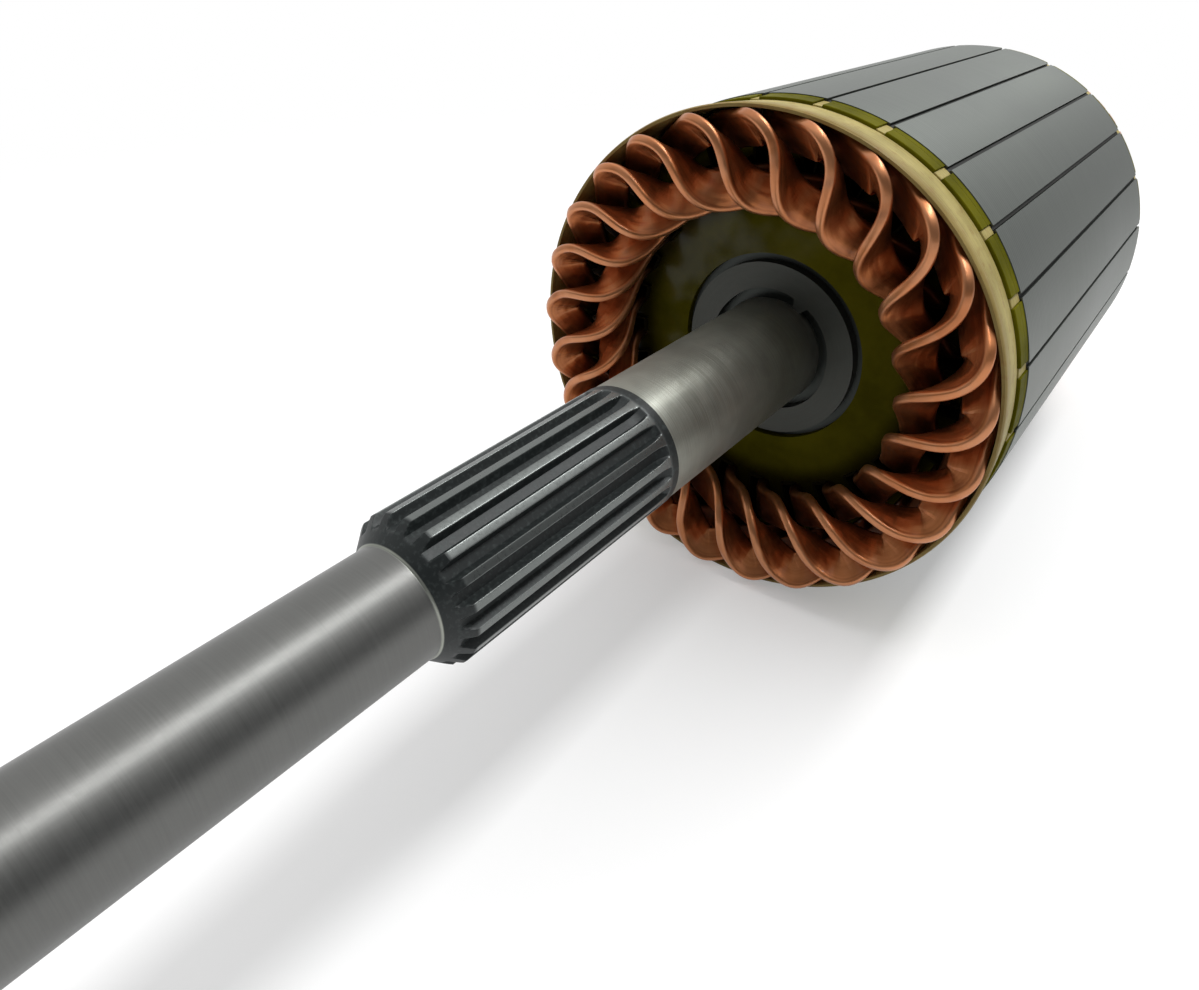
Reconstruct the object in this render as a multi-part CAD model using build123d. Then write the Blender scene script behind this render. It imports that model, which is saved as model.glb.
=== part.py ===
from build123d import *
import math
import os

# Motor armature, in millimetres.
# The shaft lies along Y. The drive end points to -Y, the commutator end to +Y, and Z is up.
# The origin is on the axis, at the middle of the drive-end bearing journal.

# Slots, windings and commutator share one count and one pitch.
SLOTS = 25
PITCH = 360 / SLOTS
FIRST_SLOT = 11.0
COIL_SPAN = 4

# Shaft
JOURNAL_RADIUS = 5.0
JOURNAL_LENGTH = 36.0
TIP_CHAMFER = 1.0
SPLINE_TEETH = 19
SPLINE_RADIUS = 6.8
SPLINE_ROOT = 5.95
SPLINE_CONE = 2.0
SPLINE_LENGTH = 26.0
SPLINE_RUNOUT = 1.2
GROOVE_FLOOR = 0.84
GROOVE_MOUTH = 1.64
FIRST_TOOTH = 89.0
SHANK_RADIUS = 6.7
SHANK_LENGTH = 31.8
SHOULDER_GAP = 1.2
SHOULDER_CHAMFER = 0.35
SEAT_RADIUS = 6.2
REAR_JOURNAL_LENGTH = 15.0

# Laminated core
CORE_RADIUS = 30.0
CORE_LENGTH = 65.0
SLOT_WIDTH = 2.0
SLOT_BOTTOM = 18.6
SLOT_TOP = 28.8
SLOT_LIP = 29.15
SLOT_MOUTH = 0.5

# Insulating end plates, washer and slot liners
PLATE_RADIUS = 29.9
PLATE_THICKNESS = 1.0
PLATE_HOLE = 12.15
PLATE_MOUTH = 1.1
RIM_INSIDE = 29.15
RIM_HEIGHT = 1.8
WASHER_RADIUS = 11.2
WASHER_HOLE = 7.9
WASHER_THICKNESS = 1.5
WASHER_TAB = 1.7
TAB_ANGLE = 62.0
LINER_WALL = 0.25
LINER_REACH = 1.6

# Binding bands of wound glass tape. The drive-end band is wider, and follows the noses outwards.
DRIVE_BAND_INSIDE = 29.15
DRIVE_BAND_OUTSIDE = 29.6
DRIVE_BAND_WIDTH = 5.6
DRIVE_BAND_FLARE = 0.4
REAR_BAND_INSIDE = 28.75
REAR_BAND_OUTSIDE = 29.1
REAR_BAND_WIDTH = 3.6

# Hairpin strip
STRIP_WIDTH = 4.6
STRIP_THICKNESS = SLOT_WIDTH - 2 * LINER_WALL
INNER_EDGE = SLOT_BOTTOM + LINER_WALL
OUTER_EDGE = 28.65
MIDDLE = (INNER_EDGE + OUTER_EDGE) / 2
NOSE_HEIGHT = 10.9

# Commutator
COMMUTATOR_GAP = 14.0
RISER_THICKNESS = 4.5
RISER_RADIUS = 26.4
LEAD_DROP = 2.5
BARREL_RADIUS = 17.5
BARREL_LENGTH = 22.0
BAR_INSIDE = 11.5
BAR_ANGLE = 12.4
UNDERCUT = 0.6
HUB_RIM = 1.0
HUB_RIM_RADIUS = 15.5

# Places along the shaft, worked out from the sizes above
TIP_Y = -JOURNAL_LENGTH / 2 - TIP_CHAMFER
CONE_Y = JOURNAL_LENGTH / 2
SPLINE_Y = CONE_Y + SPLINE_CONE
SPLINE_END_Y = SPLINE_Y + SPLINE_LENGTH + SPLINE_RUNOUT
FRONT_Y = SPLINE_END_Y + SHANK_LENGTH
REAR_Y = FRONT_Y + CORE_LENGTH
PLATE_Y = FRONT_Y - PLATE_THICKNESS
DRIVE_BAND_Y = PLATE_Y - RIM_HEIGHT
REAR_BAND_Y = REAR_Y + PLATE_THICKNESS
RISER_Y = REAR_Y + COMMUTATOR_GAP
BARREL_Y = RISER_Y + RISER_THICKNESS
BARREL_END_Y = BARREL_Y + BARREL_LENGTH
HUB_END_Y = BARREL_END_Y + HUB_RIM
END_Y = HUB_END_Y + REAR_JOURNAL_LENGTH

DRIVE_WAY = Vector(0, -1, 0)
REAR_WAY = Vector(0, 1, 0)


def around(angle, radius, y):
    """A point at an angle from +X towards +Z, a radius from the axis and a place along it."""
    turn = math.radians(angle)
    return Vector(radius * math.cos(turn), y, radius * math.sin(turn))


def cross_plane(y):
    """A sketch plane across the shaft, whose x is +X and whose y is +Z."""
    return Plane(origin=(0, y, 0), x_dir=(1, 0, 0), z_dir=(0, -1, 0))


def prism(face, y_start, y_end):
    """Extrude a face drawn across the shaft from y_start to y_end."""
    return extrude(cross_plane(y_end) * face, y_end - y_start)


def all_slots(face):
    """Copy a face that points along +X to every slot."""
    return [Rot(0, 0, FIRST_SLOT + PITCH * k) * face for k in range(SLOTS)]


def radial_box(inside, outside, width):
    """A rectangle that runs outwards along +X."""
    return Pos((inside + outside) / 2, 0) * Rectangle(outside - inside, width)


def groove_cutter():
    """One spline groove. Its straight sides open outwards, and it stops short of the spline's end."""
    mouth_radius = SPLINE_RADIUS + 0.1
    section = Polygon((SPLINE_ROOT, -GROOVE_FLOOR / 2), (mouth_radius, -GROOVE_MOUTH / 2),
                      (mouth_radius, GROOVE_MOUTH / 2), (SPLINE_ROOT, GROOVE_FLOOR / 2), align=None)
    return prism(section, CONE_Y, SPLINE_Y + SPLINE_LENGTH)


def make_shaft():
    """One turned shaft: journal, splined part, shank, core seat and rear journal."""
    profile = Polyline(
        (0, TIP_Y),
        (JOURNAL_RADIUS - TIP_CHAMFER, TIP_Y),
        (JOURNAL_RADIUS, TIP_Y + TIP_CHAMFER),
        (JOURNAL_RADIUS, CONE_Y),
        (SPLINE_RADIUS, SPLINE_Y),
        (SPLINE_RADIUS, SPLINE_END_Y),
        (SHANK_RADIUS, SPLINE_END_Y),
        (SHANK_RADIUS, FRONT_Y - SHOULDER_GAP - SHOULDER_CHAMFER),
        (SHANK_RADIUS - SHOULDER_CHAMFER, FRONT_Y - SHOULDER_GAP),
        (SEAT_RADIUS, FRONT_Y - SHOULDER_GAP),
        (SEAT_RADIUS, HUB_END_Y),
        (JOURNAL_RADIUS, HUB_END_Y),
        (JOURNAL_RADIUS, END_Y - TIP_CHAMFER),
        (JOURNAL_RADIUS - TIP_CHAMFER, END_Y),
        (0, END_Y),
        close=True,
    )
    blank = revolve(make_face(profile), Axis.Y)
    groove = groove_cutter()
    tooth = 360 / SPLINE_TEETH
    cutters = [Rot(0, -(FIRST_TOOTH + tooth * (k + 0.5)), 0) * groove for k in range(SPLINE_TEETH)]
    return blank - cutters


def slotted_disc(radius, hole, mouth):
    """A round section with a half-closed slot for every pair of legs."""
    half = SLOT_WIDTH / 2
    beyond = radius + 1
    one_side = [(SLOT_BOTTOM, half), (SLOT_TOP, half), (SLOT_LIP, mouth / 2), (beyond, mouth / 2)]
    other_side = [(depth, -across) for depth, across in one_side]
    slot = Polygon(*other_side, *one_side[::-1], align=None)
    return Circle(radius) - Circle(hole) - all_slots(slot)


def make_core():
    """The stack of laminations."""
    return prism(slotted_disc(CORE_RADIUS, SEAT_RADIUS, SLOT_MOUTH), FRONT_Y, REAR_Y)


def make_end_plate(y_start):
    """An insulating plate with the core's outline, and a little more room at the mouths of its slots."""
    return prism(slotted_disc(PLATE_RADIUS, PLATE_HOLE, PLATE_MOUTH), y_start, y_start + PLATE_THICKNESS)


def make_front_plate():
    """The drive-end plate, whose raised rim stands outside the strips and is cut through at every slot."""
    mouth = radial_box(RIM_INSIDE - 1, PLATE_RADIUS + 1, PLATE_MOUTH)
    rim = Circle(PLATE_RADIUS) - Circle(RIM_INSIDE) - all_slots(mouth)
    return make_end_plate(PLATE_Y) + prism(rim, DRIVE_BAND_Y, PLATE_Y)


def make_washer():
    """The steel washer at the shoulder, with one tab that reaches in to the shaft."""
    ring = Circle(WASHER_RADIUS) - Circle(WASHER_HOLE)
    tab = radial_box(SHANK_RADIUS, (WASHER_HOLE + WASHER_RADIUS) / 2, WASHER_TAB)
    return prism(ring + Rot(0, 0, TAB_ANGLE) * tab, FRONT_Y - WASHER_THICKNESS, FRONT_Y)


def make_liners():
    """Folded insulating paper in every slot, open towards the slot's mouth."""
    outside = radial_box(SLOT_BOTTOM, OUTER_EDGE, SLOT_WIDTH)
    inside = radial_box(INNER_EDGE, SLOT_TOP, STRIP_THICKNESS)
    one = outside - inside
    return [prism(face, FRONT_Y - LINER_REACH, REAR_Y + LINER_REACH) for face in all_slots(one)]


def make_band(inside, outside, y_core, y_nose, flare):
    """A sleeve of resin-set glass tape wound over the outer strips. A flare opens it away from the core."""
    core_side = [(inside, y_core), (outside, y_core)]
    nose_side = [(outside + flare, y_nose), (inside + flare, y_nose)]
    profile = Polyline(*core_side, *nose_side, close=True)
    return revolve(make_face(profile), Axis.Y)


def make_drive_band():
    y_nose = DRIVE_BAND_Y - DRIVE_BAND_WIDTH
    return make_band(DRIVE_BAND_INSIDE, DRIVE_BAND_OUTSIDE, DRIVE_BAND_Y, y_nose, DRIVE_BAND_FLARE)


def make_rear_band():
    return make_band(REAR_BAND_INSIDE, REAR_BAND_OUTSIDE, REAR_BAND_Y, REAR_BAND_Y + REAR_BAND_WIDTH, 0)


def strip_corners(angle, radius, y, lean, along):
    """The four corners of the strip's section, hung from its free edge.

    The free edge is at angle, radius and y. The lean is 90 where the strip stands
    outwards from its back edge, 0 where it stands towards the end of the armature,
    and -90 where it stands inwards. Along is the way that the strip runs.
    """
    turn = math.radians(lean)
    stand = around(angle, 1, 0) * math.sin(turn) + DRIVE_WAY * math.cos(turn)
    stand = (stand - along * stand.dot(along)).normalized()
    side = along.cross(stand) * (STRIP_THICKNESS / 2)
    free = around(angle, radius, y)
    back = free - stand * STRIP_WIDTH
    return [free + side, back + side, back - side, free - side]


def is_flat(a, b, c, d):
    """True where four points lie in one plane."""
    return abs((b - a).cross(d - a).dot(c - a)) < 0.0001


def flat_face(*points):
    return make_face(Polyline(*points, close=True))


def faces_between(lower, upper):
    """The flat faces between two sections. A twisted side is creased from corner to corner."""
    faces = []
    for side in range(4):
        after = (side + 1) % 4
        a, b, c, d = lower[side], lower[after], upper[after], upper[side]
        if is_flat(a, b, c, d):
            faces += [flat_face(a, b, c, d)]
        elif side < 2:
            faces += [flat_face(a, b, c), flat_face(a, c, d)]
        else:
            faces += [flat_face(a, b, d), flat_face(b, c, d)]
    return faces


def strip_run(stations, first_way, last_way):
    """The skin of the strip through stations of (angle, radius, y, lean), open at both ends."""
    edges = [around(angle, radius, y) for angle, radius, y, lean in stations]
    ways = [first_way]
    for before, after in zip(edges, edges[2:]):
        ways.append((after - before).normalized())
    ways.append(last_way)
    sections = [strip_corners(*station, way) for station, way in zip(stations, ways)]
    faces = []
    for lower, upper in zip(sections, sections[1:]):
        faces += faces_between(lower, upper)
    return faces


def nose_stations(centre):
    """The twisted front end of a hairpin, from its outer leg over the nose to its inner leg.

    Each row is an angle from the nose, the free edge's radius and its height over the core, and the lean.
    """
    leg = PITCH * COIL_SPAN / 2
    rows = [
        (leg, OUTER_EDGE, LINER_REACH, 90),
        (leg - 2.2, OUTER_EDGE, LINER_REACH + 1.2, 90),
        (21.2, OUTER_EDGE, 4.7, 60),
        (10.2, OUTER_EDGE + 0.6, 9.6, 48),
        (6.5, OUTER_EDGE + 0.4, 10.2, 47),
        (1, OUTER_EDGE - 2.1, 10.4, 40),
        (-0.7, MIDDLE - 0.4, NOSE_HEIGHT, 10),
        (-0.8, INNER_EDGE + 2, 10.2, -25),
        (-5.7, INNER_EDGE - 0.2, 8.7, -51),
        (-11.2, INNER_EDGE - 0.8, 6, -68),
        (-22, INNER_EDGE + 0.2, 3.5, -79),
        (3.6 - leg, INNER_EDGE, LINER_REACH + 1.3, -90),
        (-leg, INNER_EDGE, LINER_REACH, -90),
    ]
    return [(centre + angle, radius, FRONT_Y - height, lean) for angle, radius, height, lean in rows]


def leg_and_lead(slot_angle, way, edge_radius):
    """The skin of one leg, its lead to the commutator, and the lead's end in its bar.

    The way is 1 for the outer leg, which hangs from its outer edge, and -1 for the inner leg.
    """
    lean = 90 * way
    swing = way * PITCH * COIL_SPAN / 2
    leg = [(slot_angle, edge_radius, y, lean) for y in (FRONT_Y - LINER_REACH, REAR_Y + LINER_REACH)]
    rows = [
        (0, 0, LINER_REACH),
        (0.1, 0.03, LINER_REACH + 1.7),
        (0.5, 0.5, (LINER_REACH + COMMUTATOR_GAP) / 2),
        (0.9, 0.97, COMMUTATOR_GAP - 1.7),
        (1, 1, COMMUTATOR_GAP),
    ]
    lead = [(slot_angle + swing * part, edge_radius - LEAD_DROP * drop, REAR_Y + height, lean)
            for part, drop, height in rows]
    bar_angle, bar_edge = slot_angle + swing, edge_radius - LEAD_DROP
    end = [(bar_angle, bar_edge, RISER_Y, lean), (bar_angle, bar_edge, BARREL_Y, lean)]
    faces = []
    for stations in (leg, lead, end):
        faces += strip_run(stations, REAR_WAY, REAR_WAY)
    return faces + [flat_face(*strip_corners(*end[-1], REAR_WAY))]


def make_hairpin(centre):
    """One hairpin, whose nose stands at the angle of a slot, sewn from its faces."""
    reach = PITCH * COIL_SPAN / 2
    skin = strip_run(nose_stations(centre), DRIVE_WAY, REAR_WAY)
    skin += leg_and_lead(centre + reach, 1, OUTER_EDGE)
    skin += leg_and_lead(centre - reach, -1, INNER_EDGE)
    return Solid(Shell(skin))


def bar_blank():
    """A commutator bar without its slot: a wedge under the brushes and a taller riser."""
    half = BAR_ANGLE / 2

    def sector(outside):
        corner = outside / math.cos(math.radians(half)) + 1
        wedge = Polygon((0, 0), (corner, -corner * math.tan(math.radians(half))),
                        (corner, corner * math.tan(math.radians(half))), align=None)
        return (Circle(outside) - Circle(BAR_INSIDE)) & wedge

    riser = prism(sector(RISER_RADIUS), RISER_Y, BARREL_Y)
    barrel = prism(sector(BARREL_RADIUS), RISER_Y, BARREL_END_Y)
    return riser + barrel


def make_bar(blank):
    """A commutator bar pointing along +X, with the slot that takes two leads."""
    slot_bottom = INNER_EDGE - LEAD_DROP
    slot = prism(radial_box(slot_bottom, RISER_RADIUS + 1, STRIP_THICKNESS), RISER_Y, BARREL_Y)
    return blank - slot


def make_hub(blank):
    """The moulding that holds the bars, with a thin wall between each pair of them."""
    walls = prism(Circle(BARREL_RADIUS - UNDERCUT), RISER_Y, BARREL_END_Y)
    riser_walls = prism(Circle(RISER_RADIUS - UNDERCUT), RISER_Y, BARREL_Y)
    rims = prism(Circle(HUB_RIM_RADIUS), RISER_Y - HUB_RIM, HUB_END_Y)
    bore = prism(Circle(SEAT_RADIUS), RISER_Y - 2 * HUB_RIM, HUB_END_Y + HUB_RIM)
    bars = [Rot(0, -(FIRST_SLOT + PITCH * k), 0) * blank for k in range(SLOTS)]
    return walls + riser_walls + rims - bore - bars


def save(shape, node):
    export_step(shape, f"parts/{node}.step")


def main():
    os.makedirs("parts", exist_ok=True)
    save(make_shaft(), "shaft")
    save(make_core(), "lamination_core")
    save(make_front_plate(), "front_end_plate")
    save(make_end_plate(REAR_Y), "rear_end_plate")
    save(make_washer(), "thrust_washer")
    save(Compound(children=make_liners()), "slot_liners")
    save(make_drive_band(), "front_band")
    save(make_rear_band(), "rear_band")
    blank = bar_blank()
    bar = make_bar(blank)
    save(make_hub(blank), "commutator_hub")
    hairpin = make_hairpin(FIRST_SLOT)
    for k in range(SLOTS):
        turn = Rot(0, -PITCH * k, 0)
        save(turn * hairpin, f"hairpin_{k + 1:02d}")
        save(turn * Rot(0, -FIRST_SLOT, 0) * bar, f"commutator_bar_{k + 1:02d}")


main()
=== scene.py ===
import math

import bmesh
import bpy
import numpy as np
from mathutils.geometry import tessellate_polygon
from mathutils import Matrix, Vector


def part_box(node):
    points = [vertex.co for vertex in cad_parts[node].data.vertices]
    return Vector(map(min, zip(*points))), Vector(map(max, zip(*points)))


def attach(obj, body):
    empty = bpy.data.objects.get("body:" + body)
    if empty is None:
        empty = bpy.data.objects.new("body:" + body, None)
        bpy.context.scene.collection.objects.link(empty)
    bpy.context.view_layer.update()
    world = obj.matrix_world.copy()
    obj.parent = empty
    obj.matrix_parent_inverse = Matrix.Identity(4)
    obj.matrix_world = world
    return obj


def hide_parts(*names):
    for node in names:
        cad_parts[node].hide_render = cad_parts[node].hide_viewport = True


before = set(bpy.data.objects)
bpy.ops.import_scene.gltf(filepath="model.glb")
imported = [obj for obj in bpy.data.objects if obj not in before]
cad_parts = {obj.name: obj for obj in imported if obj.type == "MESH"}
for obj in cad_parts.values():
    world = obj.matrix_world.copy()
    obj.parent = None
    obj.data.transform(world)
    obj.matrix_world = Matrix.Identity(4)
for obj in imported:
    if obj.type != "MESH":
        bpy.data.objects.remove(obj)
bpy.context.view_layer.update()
print("CAD nodes:", len(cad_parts))

# %% [markdown]
# ## Sizes
# Most places can be read off the nodes: where the core starts and ends, how far out a band reaches.
# The few sizes that hide inside a node, such as the depth of a spline groove, are named here with
# the values that the drawing gives them.
# %% Driving sizes in millimetres
MM = 0.001
SLOTS = 25
PITCH = 360 / SLOTS
FIRST_SLOT = 11.0
HALF_SPAN = 2 * PITCH


def span(node, axis):
    """Where a CAD node starts and ends along one axis, in millimetres."""
    low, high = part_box(node)
    return low[axis] / MM, high[axis] / MM


def reach(node):
    """How far a round CAD node reaches from the shaft's axis, in millimetres."""
    return max(abs(side) for side in span(node, 0) + span(node, 2))


TIP_Y, END_Y = span("shaft", 1)
FRONT_Y, REAR_Y = span("lamination_core", 1)
RISER_Y, BARREL_END_Y = span("commutator_bar_01", 1)
RISER_LENGTH = 4.5
BARREL_Y = RISER_Y + RISER_LENGTH
RIM_TOP_Y = span("front_end_plate", 1)[0]
CORE_RADIUS = reach("lamination_core")
JOURNAL_RADIUS, SPLINE_RADIUS, SPLINE_ROOT, SHANK_RADIUS, SEAT_RADIUS = 5.0, 6.8, 5.95, 6.7, 6.2
CONE_Y, SPLINE_Y, GROOVE_END_Y, SPLINE_END_Y = 18.0, 20.0, 46.0, 47.2
SLOT_WIDTH, SLOT_BOTTOM, SLOT_TOP, SLOT_LIP, RIM_INSIDE = 2.0, 18.6, 28.8, 29.15, 29.15
STRIP_WIDTH, STRIP_THICKNESS, INNER_EDGE, OUTER_EDGE, LINER_REACH = 4.6, 1.5, 18.85, 28.65, 1.6
LEAD_DROP = 2.5
CORE_MOUTH, PLATE_MOUTH, PLATE_HOLE, PLATE_THICKNESS = 0.5, 1.1, 12.15, 1.0
FRONT_BAND_INSIDE, FRONT_BAND_FLARE, REAR_BAND_INSIDE = 29.15, 0.4, 28.75
BAR_INSIDE, BARREL_RADIUS, RISER_RADIUS, HALF_BAR, HUB_RADIUS = 11.5, 17.5, 26.4, 6.2, 15.5
print("core from", round(FRONT_Y, 1), "to", round(REAR_Y, 1), "radius", round(CORE_RADIUS, 2))

# %% [markdown]
# ## Shader sums
# Finishes are written as ordinary sums. A Value wraps one socket, and each operator on it adds the
# Math node that a hand would have dragged in. Other kinds of node come from the method node.
# %% A socket that can be added and multiplied


class Value:
    """A socket of a material's node tree."""

    def __init__(self, tree, socket):
        self.tree = tree
        self.socket = socket

    def node(self, kind, settings=(), inputs=(), output=0):
        """Add a node: its settings first, then the values or links of its sockets."""
        made = self.tree.nodes.new(kind)
        for name, setting in dict(settings).items():
            setattr(made, name, setting)
        for key, value in dict(inputs).items():
            if isinstance(value, Value):
                self.tree.links.new(value.socket, made.inputs[key])
            else:
                made.inputs[key].default_value = value
        return Value(self.tree, made.outputs[output])

    def sum(self, operation, other=0.0):
        """A Math node on this value, and on another where the operation takes two."""
        return self.node("ShaderNodeMath", {"operation": operation}, {0: self, 1: other})

    def __add__(self, other):
        return self.sum("ADD", other)

    __radd__ = __add__

    def __sub__(self, other):
        return self.sum("SUBTRACT", other)

    def __rsub__(self, other):
        return self.node("ShaderNodeMath", {"operation": "SUBTRACT"}, {0: other, 1: self})

    def __mul__(self, other):
        return self.sum("MULTIPLY", other)

    __rmul__ = __mul__

    def __truediv__(self, other):
        return self.sum("DIVIDE", other)

    def above(self, edge, blur):
        """A mask that rises from 0 to 1 around an edge."""
        return self.node("ShaderNodeMapRange", {"interpolation_type": "SMOOTHSTEP"},
                         {0: self, 1: edge - blur, 2: edge + blur})

    def noise(self, scale, detail):
        """Cloudy noise read at this vector."""
        return self.node("ShaderNodeTexNoise", (), {"Vector": self, "Scale": scale, "Detail": detail,
                                                    "Roughness": 0.55})

    def tint(self, first, second):
        """A colour between two others, mixed by this value."""
        ends = [end if isinstance(end, Value) else (*end, 1) for end in (first, second)]
        return self.node("ShaderNodeMix", {"data_type": "RGBA"}, {0: self, 6: ends[0], 7: ends[1]}, 2)

    def parts(self):
        """The x, y and z of this vector."""
        split = self.tree.nodes.new("ShaderNodeSeparateXYZ")
        self.tree.links.new(self.socket, split.inputs[0])
        return [Value(self.tree, out) for out in split.outputs]


class Finish:
    """A new material, with the places on the armature that its patterns follow."""

    def __init__(self, name):
        self.material = bpy.data.materials.new(name)
        self.material.use_nodes = True
        self.tree = self.material.node_tree
        self.shader = self.tree.nodes["Principled BSDF"]
        places = self.tree.nodes.new("ShaderNodeTexCoord")
        self.place = Value(self.tree, places.outputs["Object"])
        self.x, self.y, self.z = self.place.parts()
        self.angle = self.z.sum("ARCTAN2", self.x)
        self.radius = (self.x * self.x + self.z * self.z).sum("SQRT")

    def past(self, y, blur):
        """A mask that rises around a place along the shaft, in millimetres."""
        return self.y.above(y * MM, blur * MM)

    def beyond(self, radius, blur):
        """A mask that rises around a radius, in millimetres."""
        return self.radius.above(radius * MM, blur * MM)

    def vector(self, x, y, z):
        """A vector for noise that is stretched or runs its own way."""
        return self.x.node("ShaderNodeCombineXYZ", (), {0: x, 1: y, 2: z})

    def own(self, label):
        """A number that each piece or point carries."""
        return self.x.node("ShaderNodeAttribute", {"attribute_name": label}, (), 2)

    def bump(self, height, depth):
        """A normal from a height, where a height of 1 is depth millimetres."""
        return height.node("ShaderNodeBump", (), {"Height": height, "Distance": depth * MM})

    def set(self, **sockets):
        """Set the shader's sockets, to plain values or to links."""
        for name, value in sockets.items():
            socket = self.shader.inputs[name.replace("_", " ")]
            if isinstance(value, Value):
                self.tree.links.new(value.socket, socket)
            else:
                socket.default_value = (*value, 1) if socket.type == "RGBA" else value
        return self.material


print("shader helpers ready")

# %% [markdown]
# ## The shaft's finish
# One bar of steel wears three looks. The journal and the shank were ground between centres, which
# leaves rings too fine to see one by one: they smear a highlight across the shaft. The journal's colour
# is painted darker than the shank's, as painted shade, and the shank is darker in clouds near the
# washer. The spline was hardened and blackened, and is worn pale on its crests. Masks along Y part
# the looks, so the finish needs no seams in the mesh.
# %% Ground and blackened steel


def shaft_finish():
    steel = Finish("shaft_steel")
    rings = steel.vector(steel.angle * 0.6, steel.y * 9000, steel.radius * 900).noise(1.0, 2.0)
    speckle = steel.place.noise(2600.0, 2.0)
    cloud = steel.place.noise(180.0, 3.0)
    black = steel.past(CONE_Y + 0.15, 0.05) * (1 - steel.past(SPLINE_END_Y - 0.05, 0.05))
    # The shank turns darker in clouds towards the washer.
    washer_end_dark = steel.past(FRONT_Y - 4, 4) * cloud.above(0.47, 0.1)
    shank = (rings * 0.4 + cloud * 0.6).above(0.5, 0.3).tint((0.22, 0.232, 0.198), (0.43, 0.445, 0.395))
    shank = (washer_end_dark * 0.5).tint(shank, (0.08, 0.08, 0.066))
    journal = 1 - steel.past(CONE_Y, 0.1)
    # Painted shade: the journal's steel is a darker copy of the shank's.
    journal_shaded_steel = (rings * 0.6 + cloud * 0.4).tint((0.115, 0.116, 0.111), (0.168, 0.169, 0.162))
    bright = journal.tint(shank, journal_shaded_steel)
    dark = speckle.above(0.6, 0.12).tint((0.012, 0.016, 0.016), (0.032, 0.040, 0.039))
    crest = steel.beyond(SPLINE_RADIUS - 0.05, 0.03) * black
    worn = crest * steel.past(SPLINE_Y + 0.2, 0.2) * (1 - steel.past(GROOVE_END_Y, 0.3))
    dark = (worn * 0.9).tint(dark, (0.17, 0.182, 0.176))
    rough_bright = rings * 0.10 + speckle * 0.08 + 0.29
    rough_black = speckle * 0.24 + 0.36 - worn * 0.18
    rough = black.node("ShaderNodeMix", {"data_type": "FLOAT"}, {0: black, 2: rough_bright, 3: rough_black})
    marks = (1 - journal) * 5 + 0.5
    height = rings * (1 - black) * marks + speckle * black
    return steel.set(Base_Color=black.tint(bright, dark), Roughness=rough,
                     Metallic=0.8 - black * 0.55 + worn * 0.7, Normal=steel.bump(height, 0.006), IOR=1.5)


SHAFT_STEEL = shaft_finish()
print("finish:", SHAFT_STEEL.name)

# %% [markdown]
# ## The core's finish
# The core is a stack of half-millimetre laminations, turned true after stacking. Up close the edges of
# the laminations show as faint rings, and handling leaves soft patches that are a little darker.
# %% Turned laminations


def lamination_finish():
    steel = Finish("lamination_steel")
    sheet = 0.5
    sheets = (steel.y * (2 * math.pi / MM / sheet)).sum("SINE")
    cloud = steel.vector(steel.x, steel.y * 0.35, steel.z).noise(95.0, 4.0)
    grain = steel.vector(steel.angle * 2, steel.y * 2600, steel.radius * 300).noise(1.0, 2.0)
    shade = cloud * 0.7 + grain * 0.3
    inside = 1 - steel.beyond(CORE_RADIUS - 0.12, 0.03)
    body = shade.above(0.5, 0.28).tint((0.088, 0.099, 0.089), (0.133, 0.147, 0.131))
    return steel.set(Base_Color=inside.tint(body, (0.05, 0.055, 0.05)), Metallic=0.75,
                     Roughness=cloud * 0.18 + 0.36, Normal=steel.bump(sheets * 0.35 + grain * 0.5, 0.008))


LAMINATION_STEEL = lamination_finish()
print("finish:", LAMINATION_STEEL.name)

# %% [markdown]
# ## Copper
# The hairpins are enamelled copper strip. The enamel is clear and thin, so the metal glows orange where
# one strip mirrors the next, and the drawn edges catch the light. Each hairpin carries a number of its
# own, piece_tone, so that neighbours differ a little, as strips from one coil never quite match.
# %% Enamelled strip and turned bars


def copper_finish(name, bright, dull):
    """Turned copper, as on the commutator bars."""
    copper = Finish(name)
    cloud = copper.place.noise(420.0, 3.0)
    streak = copper.vector(copper.x, copper.y * 0.25, copper.z).noise(1500.0, 2.0)
    shade = (cloud * 0.6 + streak * 0.2 + copper.own("piece_tone") * 0.2).above(0.5, 0.3)
    return copper.set(Base_Color=shade.tint(dull, bright), Metallic=0.92, Roughness=cloud * 0.2 + 0.22,
                      Normal=copper.bump(cloud + streak * 0.3, 0.03))


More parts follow.
